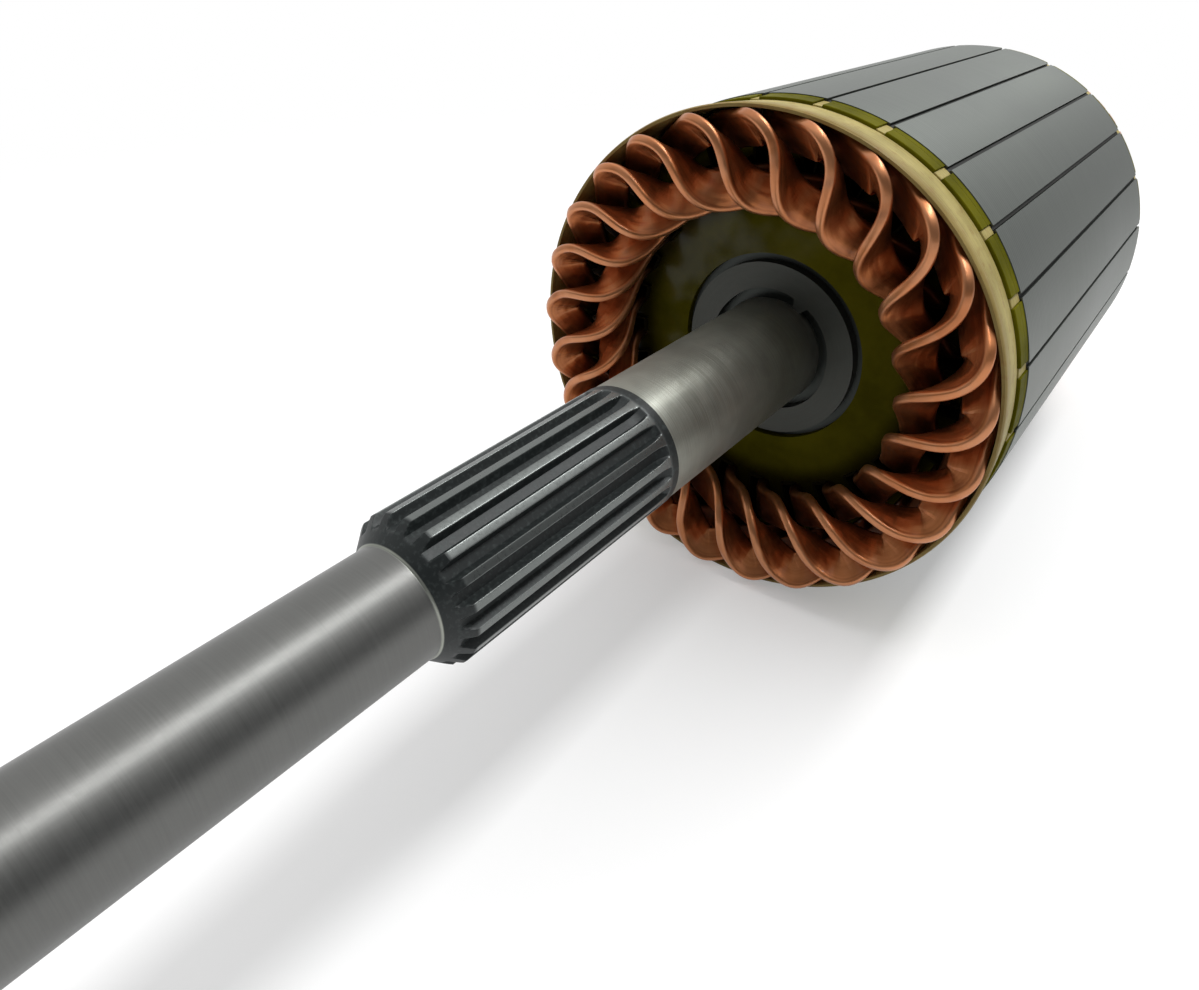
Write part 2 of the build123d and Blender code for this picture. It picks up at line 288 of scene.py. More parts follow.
def hairpin_finish():
    """Enamelled strip: drawn streaks, dents, pale edges that are partly rubbed and partly a painted
    highlight, a painted shade line beside them, and painted shade deep in the winding.
    """
    copper = Finish("winding_copper")
    tone, along, across = (copper.own(label) for label in ("piece_tone", "strip_along", "strip_across"))
    streak = copper.vector(across * 2.4, along * 0.12, tone * 40).noise(1.0, 3.0)
    cloud = copper.place.noise(300.0, 3.0)
    shade = (cloud * 0.4 + streak * 0.4 + tone * 0.2).above(0.5, 0.25)
    body = shade.tint((0.40, 0.128, 0.038), (0.60, 0.230, 0.089))
    # The free edges are paler: partly rubbed enamel, partly a painted highlight.
    free = across.above(STRIP_WIDTH / 2 - 0.25, 0.15)
    rubbed_and_highlit = copper.vector(along * 0.45, across * 0.6, tone * 60).noise(1.0, 3.0).above(0.48, 0.12)
    body = (free * (rubbed_and_highlit * 0.5 + 0.1)).tint(body, (0.54, 0.245, 0.12))
    # Painted shade: a dark line where the flat face turns into the rounded edge.
    shade_line = STRIP_WIDTH / 2 - 0.62
    off_shade_line = (across - shade_line).sum("ABSOLUTE")
    body = ((1 - off_shade_line.above(0.1, 0.1)) * 0.22).tint(body, (0.12, 0.03, 0.01))
    dents = copper.vector(along * 0.42, across * 0.5, tone * 90).noise(1.0, 1.0)
    # Painted shade darkens the low places, and reaches higher in a pit between the two layers of strips.
    shade_top, pit_radius, pit_half, pit_top = 3.5, 23.9, 2.7, 6.7
    height = (FRONT_Y * MM - copper.y) / MM + cloud * 1.2 - 0.6
    off_middle = (copper.radius / MM - pit_radius).sum("ABSOLUTE")
    pit_shade = (1 - off_middle.above(pit_half, 0.9)) * (1 - height.above(pit_top, 1.6))
    unshaded = height.above(shade_top, 1.7) * (1 - pit_shade * 0.85)
    relief = streak * 0.6 + cloud * 0.9 + dents * 6
    return copper.set(Base_Color=unshaded.tint((0.055, 0.017, 0.006), body), Metallic=0.9,
                      Roughness=streak * 0.22 + cloud * 0.12 + 0.25, Coat_Weight=0.3, Coat_Roughness=0.12,
                      Normal=copper.bump(relief, 0.05))


HAIRPIN_COPPER = hairpin_finish()
BAR_COPPER = copper_finish("bar_copper", (0.78, 0.40, 0.24), (0.60, 0.27, 0.14))
print("finishes:", HAIRPIN_COPPER.name, BAR_COPPER.name)

# %% [markdown]
# ## Insulation
# The end plates are olive resin board under a wet-looking varnish, the bands are glass thread set in
# resin, and the liners are paper. Each is a plain colour with its own fine structure and gloss.
# %% Varnished board, glass thread, paper and moulding


def plate_finish():
    board = Finish("plate_varnish")
    cloud = board.place.noise(160.0, 4.0)
    runs = board.place.noise(600.0, 2.0)
    # Painted shade: inside radius 24 the face is tinted darker, and darkest next to the winding's inner ring.
    front = 1 - board.beyond(24, 1)
    winding_shade = board.beyond(17.4, 1.4) * front
    body = cloud.above(0.5, 0.22).tint((0.080, 0.076, 0.003), (0.145, 0.134, 0.006))
    body = (front * 0.42).tint(body, (0.030, 0.018, 0.0))
    wet = board.place.noise(110.0, 2.0).above(0.52, 0.08) * (board.z - board.x).above(12 * MM, 6 * MM)
    return board.set(Base_Color=(winding_shade * 0.85).tint(body, (0.010, 0.007, 0.001)),
                     Roughness=runs * 0.25 + 0.35, Specular_IOR_Level=0.01, Coat_Roughness=0.16,
                     Coat_Weight=wet * front * 0.35, Normal=board.bump(cloud + runs * 0.4, 0.12))


def band_finish():
    glass = Finish("glass_tape")
    thread = glass.vector(glass.angle * 3, glass.y * 3800, glass.radius * 3800).noise(1.0, 2.0)
    cloud = glass.vector(glass.angle * 8, glass.y * 260, 0.0).noise(1.0, 4.0)
    stain = glass.place.noise(900.0, 3.0).above(0.62, 0.08)
    body = (cloud * 0.6 + thread * 0.4).above(0.5, 0.25).tint((0.29, 0.235, 0.075), (0.50, 0.415, 0.155))
    nose_side = 1 - glass.past(FRONT_Y - 7.2, 1.6)
    body = (nose_side * 0.6).tint(body, (0.20, 0.115, 0.035))
    return glass.set(Base_Color=(stain * 0.35).tint(body, (0.24, 0.12, 0.04)), Roughness=thread * 0.3 + 0.35,
                     Coat_Weight=0.05, Coat_Roughness=0.2, Specular_IOR_Level=0.06,
                     Normal=glass.bump(thread * 0.7 + cloud, 0.10))


def paper_finish():
    paper = Finish("liner_paper")
    fibre = paper.place.noise(1400.0, 3.0)
    # Painted shade: the paper turns nearly black below its outer two millimetres.
    shaded_inner_paper = 1 - paper.beyond(OUTER_EDGE - 2, 1.5)
    body = fibre.tint((0.50, 0.42, 0.33), (0.72, 0.66, 0.55))
    return paper.set(Base_Color=shaded_inner_paper.tint(body, (0.012, 0.009, 0.003)), Specular_IOR_Level=0.02,
                     Roughness=fibre * 0.3 + 0.4, Normal=paper.bump(fibre, 0.03))


def moulding_finish():
    resin = Finish("moulding")
    cloud = resin.place.noise(300.0, 3.0)
    return resin.set(Base_Color=cloud.tint((0.012, 0.010, 0.008), (0.035, 0.028, 0.022)),
                     Roughness=cloud * 0.25 + 0.35, Normal=resin.bump(cloud, 0.02))


def slot_finish():
    resin = Finish("slot_varnish")
    cloud = resin.vector(resin.x, resin.y * 0.2, resin.z).noise(500.0, 3.0)
    return resin.set(Base_Color=cloud.tint((0.010, 0.010, 0.009), (0.036, 0.037, 0.033)),
                     Specular_IOR_Level=0.2, Roughness=cloud * 0.3 + 0.5, Normal=resin.bump(cloud, 0.04))


def washer_finish():
    steel = Finish("washer_steel")
    cloud = steel.place.noise(220.0, 4.0)
    ring = steel.vector(steel.radius * 5000, steel.angle, 0.0).noise(1.0, 2.0)
    return steel.set(Base_Color=(cloud * 0.7 + ring * 0.3).tint((0.034, 0.036, 0.031), (0.078, 0.080, 0.070)),
                     Metallic=0.6, Roughness=cloud * 0.2 + 0.38, Normal=steel.bump(cloud + ring * 0.2, 0.04))


PLATE_VARNISH, GLASS_TAPE, LINER_PAPER = plate_finish(), band_finish(), paper_finish()
MOULDING, WASHER_STEEL, SLOT_VARNISH = moulding_finish(), washer_finish(), slot_finish()
print("finishes:", [material.name for material in bpy.data.materials])

# %% [markdown]
# ## Mesh helpers
# Every mesh here comes from one of three moves: turning a profile about the shaft, extruding an
# outline along it, or sweeping a section down a path. All three end in the same call, which merges
# doubles, points the faces outwards and keeps creases sharp.
# %% From points and faces to a finished piece


def around(angle, radius, y):
    """Points from angles in degrees from +X towards +Z, radii and places along the shaft."""
    turn = np.radians(angle)
    return np.stack([radius * np.cos(turn), y + 0 * turn, radius * np.sin(turn)], -1)


def polar(radius, degrees):
    """One point in (x, z), at an angle from +X towards +Z."""
    turn = math.radians(degrees)
    return radius * math.cos(turn), radius * math.sin(turn)


def on_spoke(degrees, corners):
    """Points in (x, z) from pairs: a distance out along a spoke at an angle, and one sideways of it."""
    out, side = np.array(polar(1, degrees)), np.array(polar(1, degrees + 90))
    return [tuple(out * depth + side * across) for depth, across in corners]


def make_piece(name, points, faces, material, crease=32, values=()):
    """A mesh object from points in millimetres, with named numbers at its points."""
    mesh = bpy.data.meshes.new(name)
    mesh.from_pydata((np.asarray(points).reshape(-1, 3) * MM).tolist(), [], faces)
    for label, numbers in dict(values).items():
        mesh.attributes.new(label, "FLOAT", "POINT").data.foreach_set("value", np.ravel(numbers))
    work = bmesh.new()
    work.from_mesh(mesh)
    bmesh.ops.remove_doubles(work, verts=work.verts, dist=1e-7)
    bmesh.ops.recalc_face_normals(work, faces=work.faces)
    work.to_mesh(mesh)
    work.free()
    mesh.shade_smooth()
    mesh.set_sharp_from_angle(angle=math.radians(crease))
    mesh.materials.append(material)
    piece = bpy.data.objects.new(name, mesh)
    bpy.context.scene.collection.objects.link(piece)
    return piece


def grid_faces(rows, columns, closed_rows=False):
    """Quads of a grid whose columns close on themselves."""
    faces = []
    for row in range(rows if closed_rows else rows - 1):
        after = (row + 1) % rows
        for column in range(columns):
            beside = (column + 1) % columns
            faces.append((row * columns + column, row * columns + beside,
                          after * columns + beside, after * columns + column))
    return faces


def tube_faces(rows, columns):
    """Quads round a tube, and a cap at each end."""
    last = (rows - 1) * columns
    return grid_faces(rows, columns) + [tuple(range(columns)), tuple(range(last, last + columns))]


def turned_ring(name, profile, material, columns=200):
    """A closed profile of (radius, y) turned all the way round the shaft."""
    angles = np.arange(columns) * 360 / columns
    points = np.concatenate([around(angles, radius, y) for radius, y in profile])
    return make_piece(name, points, grid_faces(len(profile), columns, closed_rows=True), material)


def extruded(name, outlines, y_start, y_end, material, edge=0.0):
    """Outlines of (x, z) extruded along the shaft: the first is the outside, the others are holes."""
    caps = tessellate_polygon([[(x, z, 0) for x, z in outline] for outline in outlines])
    flat = [point for outline in outlines for point in outline]
    count = len(flat)
    rings = [np.array([(x, y, z) for x, z in flat]) for y in (y_start, y_end)]
    faces = [tuple(cap) for cap in caps]
    faces += [tuple(count + corner for corner in reversed(cap)) for cap in caps]
    start = 0
    for outline in outlines:
        total = len(outline)
        for k in range(total):
            here, after = start + k, start + (k + 1) % total
            faces.append((here, after, count + after, count + here))
        start += total
    piece = make_piece(name, np.concatenate(rings), faces, material)
    if edge:
        bevel(piece, edge)
    return piece


def bevel(piece, width):
    """Round the piece's sharp edges by a width in millimetres, and keep the result."""
    modifier = piece.modifiers.new("edge", "BEVEL")
    modifier.width = width * MM
    modifier.segments = 2
    modifier.limit_method = "ANGLE"
    modifier.angle_limit = math.radians(50)
    bake_modifiers(piece)


def bake_modifiers(piece):
    """Turn a piece's live modifiers into plain mesh."""
    bpy.context.view_layer.update()
    seen = piece.evaluated_get(bpy.context.evaluated_depsgraph_get())
    plain = bpy.data.meshes.new_from_object(seen)
    piece.modifiers.clear()
    piece.data = plain


def place_piece(piece):
    """The piece rides with the armature."""
    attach(piece, "root")


def finish_piece(piece, slot, *nodes):
    """The piece stands for its CAD nodes and rides with the armature."""
    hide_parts(*nodes)
    place_piece(piece)
    print(piece.name, "stands for", len(nodes), "node(s):", len(piece.data.polygons), "faces")


# %% [markdown]
# ## Repeating round the shaft
# Hairpins, liners and commutator bars all repeat 25 times, so one Geometry Nodes tree serves them.
# It makes 25 points in one place, hangs a copy of the piece on each, and turns each copy one pitch
# further. A seeded number goes with each copy for its tone. The wobble turns a copy a little more or
# less, but only in front of a given place: the hairpins' noses stray and their legs stay in their slots.
# %% One tree for everything that repeats


def repeat_tree():
    """The node tree: copies on points, a tone and a swing for each, and the turn of the noses."""
    tree = bpy.data.node_groups.new("round_the_shaft", "GeometryNodeTree")
    sockets = {"Piece": "Object", "Count": "Int", "Pitch": "Float", "Wobble": "Float",
               "Wobble from": "Float", "Wobble to": "Float", "Seed": "Int", "Material": "Material"}
    for name, kind in sockets.items():
        tree.interface.new_socket(name, in_out="INPUT", socket_type="NodeSocket" + kind)
    tree.interface.new_socket("Geometry", in_out="OUTPUT", socket_type="NodeSocketGeometry")
    given = tree.nodes.new("NodeGroupInput")

    def add(kind, inputs=(), **settings):
        made = tree.nodes.new(kind)
        for key, setting in settings.items():
            setattr(made, key, setting)
        for key, value in dict(inputs).items():
            if isinstance(value, bpy.types.NodeSocket):
                tree.links.new(value, made.inputs[key])
            else:
                made.inputs[key].default_value = value
        return made

    source = add("GeometryNodeObjectInfo", {"Object": given.outputs["Piece"]}, transform_space="ORIGINAL")
    spots = add("GeometryNodePoints", {"Count": given.outputs["Count"], "Radius": MM})
    index = add("GeometryNodeInputIndex")
    turn = add("ShaderNodeMath", {0: index.outputs[0], 1: given.outputs["Pitch"]}, operation="MULTIPLY")
    spin = add("ShaderNodeCombineXYZ", {1: turn.outputs[0]})
    copies = add("GeometryNodeInstanceOnPoints", {
        "Points": spots.outputs[0], "Instance": source.outputs["Geometry"], "Rotation": spin.outputs[0]})
    last = copies.outputs[0]
    for name, low, high, step in (("piece_tone", 0.0, 1.0, 0.0), ("piece_swing", -1.0, 1.0, 7.0)):
        seed = add("ShaderNodeMath", {0: given.outputs["Seed"], 1: step}, operation="ADD")
        chance = add("FunctionNodeRandomValue", {2: low, 3: high, "Seed": seed.outputs[0]}, data_type="FLOAT")
        store = add("GeometryNodeStoreNamedAttribute", {
            "Geometry": last, "Name": name, "Value": chance.outputs[1]}, data_type="FLOAT", domain="INSTANCE")
        last = store.outputs[0]
    whole = add("GeometryNodeRealizeInstances", {0: last})
    swing = add("GeometryNodeInputNamedAttribute", {"Name": "piece_swing"}, data_type="FLOAT")
    place = add("GeometryNodeInputPosition")
    parts = add("ShaderNodeSeparateXYZ", {0: place.outputs[0]})
    lift = add("ShaderNodeMapRange", {0: parts.outputs[1], 1: given.outputs["Wobble from"],
                                      2: given.outputs["Wobble to"]}, interpolation_type="SMOOTHSTEP")
    much = add("ShaderNodeMath", {0: lift.outputs[0], 1: given.outputs["Wobble"]}, operation="MULTIPLY")
    angle = add("ShaderNodeMath", {0: much.outputs[0], 1: swing.outputs[0]}, operation="MULTIPLY")
    swung = add("ShaderNodeVectorRotate", {"Vector": place.outputs[0], "Angle": angle.outputs[0]},
                rotation_type="Y_AXIS")
    moved = add("GeometryNodeSetPosition", {"Geometry": whole.outputs[0], "Position": swung.outputs[0]})
    painted = add("GeometryNodeSetMaterial", {
        "Geometry": moved.outputs[0], "Material": given.outputs["Material"]})
    end = tree.nodes.new("NodeGroupOutput")
    tree.links.new(painted.outputs[0], end.inputs[0])
    return tree


REPEAT = repeat_tree()


def repeat_round(name, source, material, seed, wobble=0.0, wobble_from=0.0, wobble_to=1.0):
    """Copy a piece to every slot, turn the copies into one plain mesh and drop the source."""
    piece = bpy.data.objects.new(name, bpy.data.meshes.new(name))
    bpy.context.scene.collection.objects.link(piece)
    modifier = piece.modifiers.new("round the shaft", "NODES")
    modifier.node_group = REPEAT
    values = {"Piece": source, "Count": SLOTS, "Pitch": -math.radians(PITCH), "Seed": seed,
              "Wobble": math.radians(wobble), "Wobble from": wobble_from * MM, "Wobble to": wobble_to * MM,
              "Material": material}
    for item in REPEAT.interface.items_tree:
        if item.in_out == "INPUT":
            modifier[item.identifier] = values[item.name]
    bake_modifiers(piece)
    bpy.data.objects.remove(source)
    return piece


print("repeat tree has", len(REPEAT.nodes), "nodes")

# %% [markdown]
# ## A hairpin
# One hairpin is a single strip: lead, leg, nose, leg, lead. Its free edge passes through a few stations,
# and at each station the strip leans by an angle: 90 where it stands outwards on edge in its slot, 0
# over the nose, -90 in the inner layer. The lean says where the back edge is. A smooth spline runs
# along each edge, and a section with rounded corners is carried along between the two.
# %% Stations of one hairpin


def nose_stations():
    """Rows of angle from the nose, free-edge radius, place along the shaft, and lean."""
    middle = (INNER_EDGE + OUTER_EDGE) / 2
    rows = [
        (HALF_SPAN, OUTER_EDGE, LINER_REACH, 90),
        (HALF_SPAN - 2.2, OUTER_EDGE, LINER_REACH + 1.2, 90),
        (21.2, OUTER_EDGE + 0.3, 4.7, 60),
        (10.2, OUTER_EDGE + 0.9, 9.6, 48),
        (6.5, OUTER_EDGE + 0.7, 10.2, 47),
        (1, OUTER_EDGE - 2.1, 10.4, 26),
        (-0.7, middle - 0.4, 10.9, -10),
        (-0.8, INNER_EDGE + 2, 10.2, -46),
        (-5.7, INNER_EDGE - 0.2, 8.7, -82),
        (-11.2, INNER_EDGE - 0.8, 6, -90),
        (-22, INNER_EDGE + 0.2, 3.5, -90),
        (3.6 - HALF_SPAN, INNER_EDGE, LINER_REACH + 1.3, -90),
        (-HALF_SPAN, INNER_EDGE, LINER_REACH, -90),
    ]
    return [(angle, radius, FRONT_Y - height, lean) for angle, radius, height, lean in rows]


def leg_stations(way, edge):
    """One leg and its lead, from the front of the slot to the commutator bar."""
    slot_end = REAR_Y + LINER_REACH
    rows = [(0, 0, FRONT_Y - LINER_REACH + 2), (0, 0, slot_end - 2), (0, 0, slot_end),
            (0.1, 0.03, slot_end + 1.7), (0.5, 0.5, (slot_end + RISER_Y) / 2), (0.9, 0.97, RISER_Y - 1.7),
            (1, 1, RISER_Y), (1, 1, RISER_Y + 1), (1, 1, BARREL_Y)]
    return [(way * HALF_SPAN * (1 + part), edge - LEAD_DROP * drop, y, 90 * way) for part, drop, y in rows]


def hairpin_stations():
    """The whole hairpin, from the end of one lead to the end of the other."""
    outer = leg_stations(1, OUTER_EDGE)
    inner = leg_stations(-1, INNER_EDGE)
    return outer[::-1] + nose_stations() + inner


print("stations in one hairpin:", len(hairpin_stations()))

# %% A smooth path through the stations
PATH_STEP, STRAIGHT_GAP, SMOOTHING = 0.45, 30, 24
STRIP_CORNER, NOSE_THINNING = 0.5, 0.2


def unit(vectors):
    """The same directions, each one long."""
    return vectors / np.linalg.norm(vectors, axis=1)[:, None]


def strip_edges(stations):
    """The strip's free edge and its back edge at every station."""
    angle, radius, y, lean = np.array(stations, float).T
    free = around(angle, radius, y)
    along = unit(np.gradient(free, axis=0))
    turn = np.radians(lean)[:, None]
    stand = unit(free * (1, 0, 1)) * np.sin(turn) + np.array([0, -1, 0]) * np.cos(turn)
    stand = unit(stand - along * np.sum(stand * along, axis=1)[:, None])
    return free, free - stand * STRIP_WIDTH


def smooth_path(knots):
    """Points of a centripetal spline through rows whose first three values are a place."""
    padded = np.vstack([knots[0] * 2 - knots[1], knots, knots[-1] * 2 - knots[-2]])
    gaps = np.linalg.norm(np.diff(padded[:, :3], axis=0), axis=1)
    times = np.concatenate([[0], np.cumsum(np.sqrt(gaps))])
    points = []
    for k in range(1, len(padded) - 2):
        count = 1 if gaps[k] > STRAIGHT_GAP else max(2, int(gaps[k] / PATH_STEP))
        t0, t1, t2, t3 = times[k - 1:k + 3]
        p0, p1, p2, p3 = padded[k - 1:k + 3]
        for t in np.linspace(t1, t2, count, endpoint=False):
            a1 = (t1 - t) / (t1 - t0) * p0 + (t - t0) / (t1 - t0) * p1
            a2 = (t2 - t) / (t2 - t1) * p1 + (t - t1) / (t2 - t1) * p2
            a3 = (t3 - t) / (t3 - t2) * p2 + (t - t2) / (t3 - t2) * p3
            b1 = (t2 - t) / (t2 - t0) * a1 + (t - t0) / (t2 - t0) * a2
            b2 = (t3 - t) / (t3 - t1) * a2 + (t - t1) / (t3 - t1) * a3
            points.append((t2 - t) / (t2 - t1) * b1 + (t - t1) / (t2 - t1) * b2)
    points.append(knots[-1])
    return np.array(points)


def rounded_section(width, thickness, corner, steps=4):
    """Offsets (across the width, through the thickness) of a rectangle with round corners."""
    offsets = []
    for quarter in range(4):
        centre_w = (width / 2 - corner) * (1 if quarter in (0, 3) else -1)
        centre_t = (thickness / 2 - corner) * (1 if quarter in (0, 1) else -1)
        for step in range(steps + 1):
            turn = math.radians(90 * quarter + 90 * step / steps)
            offsets.append((centre_w + corner * math.cos(turn), centre_t + corner * math.sin(turn)))
    return np.array(offsets)


def make_strip(name, stations, material):
    """Lay the strip between two smooth edges, with its places along and across it kept at its points."""
    free, back = strip_edges(stations)
    lines = smooth_path(np.hstack([(free + back) / 2, free, back]))
    for _ in range(SMOOTHING):
        lines[1:-1] = lines[1:-1] / 2 + (lines[:-2] + lines[2:]) / 4
    centre, stand = lines[:, :3], unit(lines[:, 3:6] - lines[:, 6:])
    side = unit(np.cross(np.gradient(centre, axis=0), stand))
    section = rounded_section(STRIP_WIDTH, STRIP_THICKNESS, STRIP_CORNER)
    height = np.clip((FRONT_Y - centre[:, 1] - 1) / 5, 0, 1)
    side *= 1 - NOSE_THINNING * height[:, None]
    rings = centre[:, None] + stand[:, None] * section[None, :, :1] + side[:, None] * section[None, :, 1:]
    steps = np.linalg.norm(np.diff(centre, axis=0, prepend=centre[:1]), axis=1)
    along = np.repeat(np.cumsum(steps), len(section))
    across = np.tile(section[:, 0], len(rings))
    faces = tube_faces(len(rings), len(section))
    places = {"strip_along": along, "strip_across": across}
    return make_piece(name, rings, faces, material, crease=50, values=places)


# %% The winding


def make_winding():
    """The hairpin at the first slot, repeated into every slot with a little swing of its nose."""
    centred = [(angle + FIRST_SLOT, radius, y, lean) for angle, radius, y, lean in hairpin_stations()]
    hairpin = make_strip("hairpin", centred, HAIRPIN_COPPER)
    winding = repeat_round("hairpin_winding", hairpin, HAIRPIN_COPPER, seed=4, wobble=1.0,
                           wobble_from=FRONT_Y - 4, wobble_to=FRONT_Y - 9)
    nodes = [f"hairpin_{k:02d}" for k in range(1, SLOTS + 1)]
    finish_piece(winding, "winding_copper", *nodes)


make_winding()

# %% [markdown]
# ## The shaft
# The shaft is turned, then the spline is cut. Here each ring of points first takes the turned radius,
# and where a groove runs the radius drops to the groove's floor or flank. Columns are placed at the
# groove's corners, so its edges stay crisp. Where the cone in front is lower than a groove, the cone
# wins, and the grooves fade out in the scallops that such a cone shows.
# %% Turned profile and grooves


CHAMFER, STEP = 1.0, 0.01
SHOULDER_Y, REAR_JOURNAL_Y = FRONT_Y - 1.2, END_Y - 15
TEETH, FIRST_TOOTH = 19, 89.0


def turned_radius(y):
    """The shaft's radius in millimetres at a place along it, before the grooves are cut."""
    stations = [(TIP_Y, JOURNAL_RADIUS - CHAMFER), (TIP_Y + CHAMFER, JOURNAL_RADIUS),
                (CONE_Y, JOURNAL_RADIUS), (SPLINE_Y - 0.25, SPLINE_RADIUS - 0.2), (SPLINE_Y, SPLINE_RADIUS),
                (SPLINE_END_Y - 0.1, SPLINE_RADIUS), (SPLINE_END_Y, SHANK_RADIUS),
                (SHOULDER_Y - 0.5, SHANK_RADIUS), (SHOULDER_Y - 0.25, SHANK_RADIUS + 0.1),
                (SHOULDER_Y, SHANK_RADIUS - 0.15), (SHOULDER_Y + STEP, SEAT_RADIUS),
                (REAR_JOURNAL_Y, SEAT_RADIUS), (REAR_JOURNAL_Y + STEP, JOURNAL_RADIUS),
                (END_Y - CHAMFER, JOURNAL_RADIUS), (END_Y, JOURNAL_RADIUS - CHAMFER)]
    places, radii = zip(*stations)
    return np.interp(y, places, radii)


def groove_radius(angle):
    """The radius of a groove's floor or flank, at an angle in degrees from the groove's middle."""
    turn = np.radians(np.abs(angle))
    floor_half, flank = 0.42, 0.421
    floor = SPLINE_ROOT / np.cos(turn)
    side = (floor_half - SPLINE_ROOT * flank) / np.minimum(np.sin(turn) - flank * np.cos(turn), -0.05)
    return np.where(SPLINE_ROOT * np.tan(turn) < floor_half, floor, side)


def rounded_minimum(first, second, blend):
    """The smaller of two radii, with the corner between them rounded over."""
    gap = np.clip((second - first) / blend, -30, 30)
    return first - blend * np.log1p(np.exp(-gap))


def make_shaft():
    """Rings of points from tip to end, with 19 grooves pressed into those of the spline."""
    tooth = 360 / TEETH
    corners = np.array([0, 2.0, 3.9, 4.2, 5.3, 5.8, 6.1, 6.3, 6.45, 6.6, 6.8, 7.1, 7.6, 8.5])
    offsets = np.concatenate([-corners[:0:-1], corners])
    angles = np.concatenate([FIRST_TOOTH + tooth * (k + 0.5) + offsets for k in range(TEETH)])
    groove = np.tile(groove_radius(offsets), TEETH)
    runout_y, runout = GROOVE_END_Y - 1.9, 2.1
    rows = [TIP_Y, TIP_Y + CHAMFER, *np.linspace(TIP_Y + 1.2, CONE_Y - 0.1, 8), CONE_Y]
    rows += [*np.linspace(CONE_Y + 0.1, SPLINE_Y + 0.3, 22), *np.linspace(SPLINE_Y + 1, runout_y - 0.3, 18)]
    rows += [*np.linspace(runout_y, GROOVE_END_Y + 0.3, 16), SPLINE_END_Y - 0.1, SPLINE_END_Y]
    rows += [*np.linspace(SPLINE_END_Y + 0.3, SHOULDER_Y - 0.5, 6), SHOULDER_Y - 0.25]
    rows += [SHOULDER_Y, SHOULDER_Y + STEP, REAR_JOURNAL_Y, REAR_JOURNAL_Y + STEP, END_Y - CHAMFER, END_Y]
    rings = []
    for y in rows:
        radius = np.full(len(angles), turned_radius(y))
        if CONE_Y < y < SPLINE_END_Y:
            ramp = max(0.0, (y - runout_y) / runout) ** 2
            radius = rounded_minimum(radius, groove + ramp, 0.05)
        rings.append(around(angles, radius, y))
    faces = tube_faces(len(rows), len(angles))
    shaft = make_piece("splined_shaft", np.concatenate(rings), faces, SHAFT_STEEL, crease=24)
    finish_piece(shaft, "shaft_steel", "shaft")


make_shaft()

# %% [markdown]
# ## Core, end plates, rim and liners
# The core and its plates share one trick: a round outline with 25 slots, made by walking round the
# circle and stepping into each slot. The core's slots are nearly closed at the mouth, and the plates'
# mouths are a little wider. The rim, the varnish and the liners are one small piece each, repeated.
# %% Slotted outlines


def slotted_outline(radius, slot, steps=12):
    """Walk round a circle in (x, z), and into each slot through its points of (radius, half width)."""
    outline = []
    mouth = math.degrees(math.asin(slot[0][1] / radius))
    walk = [(depth, -half) for depth, half in slot] + slot[::-1]
    for k in range(SLOTS):
        centre = FIRST_SLOT + PITCH * k
        outline += on_spoke(centre, walk)
        outline += [polar(radius, angle) for angle in
                    np.linspace(centre + mouth, centre + PITCH - mouth, steps)[1:-1]]
    return outline


def circle(radius, steps=120):
    """Points in (x, z) round a circle, from +X towards +Z."""
    return [polar(radius, 360 * k / steps) for k in range(steps)]


def on_circle(radius, half):
    """The point of a circle that is half a slot's width away from the slot's middle."""
    return math.sqrt(radius * radius - half * half), half


def make_slotted(name, node, slot_name, hole, mouth, material, edge, y_start=None):
    """A slotted disc in the place of its node: the core, or one of its end plates."""
    radius = reach(node)
    slot = [on_circle(radius, mouth / 2), (SLOT_LIP, mouth / 2), (SLOT_TOP, SLOT_WIDTH / 2),
            (SLOT_BOTTOM, SLOT_WIDTH / 2)]
    outlines = [slotted_outline(radius, slot), circle(hole)[::-1]]
    low, high = span(node, 1)
    piece = extruded(name, outlines, y_start or low, high, material, edge=edge)
    finish_piece(piece, slot_name, node)


def make_plate_rim():
    """The raised rim of the drive-end plate: one block between each pair of slots."""
    outside = reach("front_end_plate")
    half = PITCH / 2 - math.degrees(math.asin(PLATE_MOUTH / 2 / outside))
    middle = FIRST_SLOT + PITCH / 2
    angles = np.linspace(middle - half, middle + half, 10)
    outline = [polar(outside, angle) for angle in angles]
    outline += [polar(RIM_INSIDE, angle) for angle in angles[::-1]]
    foot = FRONT_Y - PLATE_THICKNESS + 0.05
    block = extruded("rim_block", [outline], RIM_TOP_Y, foot, PLATE_VARNISH, edge=0.1)
    place_piece(repeat_round("drive_end_rim", block, PLATE_VARNISH, seed=3))


make_slotted("laminated_core", "lamination_core", "lamination_steel", SEAT_RADIUS, CORE_MOUTH,
             LAMINATION_STEEL, 0.06)
make_slotted("drive_end_plate", "front_end_plate", "plate_varnish", PLATE_HOLE, PLATE_MOUTH,
             PLATE_VARNISH, 0.12, FRONT_Y - PLATE_THICKNESS)
make_plate_rim()
make_slotted("commutator_end_plate", "rear_end_plate", "plate_varnish", PLATE_HOLE, PLATE_MOUTH,
             PLATE_VARNISH, 0.12)

# %% Varnish in the slots' mouths, and resin in the rim's notches


def make_fill(name, low, high, inside, outside, width, material):
    """A thin bar along every slot, a little below the surface round it."""
    half = width / 2
    outline = on_spoke(FIRST_SLOT, [(inside, -half), (outside, -half), (outside, half), (inside, half)])
    bar = extruded("fill", [outline], low, high, material, edge=0.08)
    place_piece(repeat_round(name, bar, material, seed=5))


make_fill("slot_varnish", FRONT_Y + 0.03, REAR_Y - 0.03, SLOT_LIP - 0.2, CORE_RADIUS - 0.3, CORE_MOUTH,
          SLOT_VARNISH)
make_fill("notch_resin", RIM_TOP_Y, FRONT_Y - 0.02, RIM_INSIDE, RIM_INSIDE + 0.55, PLATE_MOUTH - 0.04,
          GLASS_TAPE)

# %% Slot liners


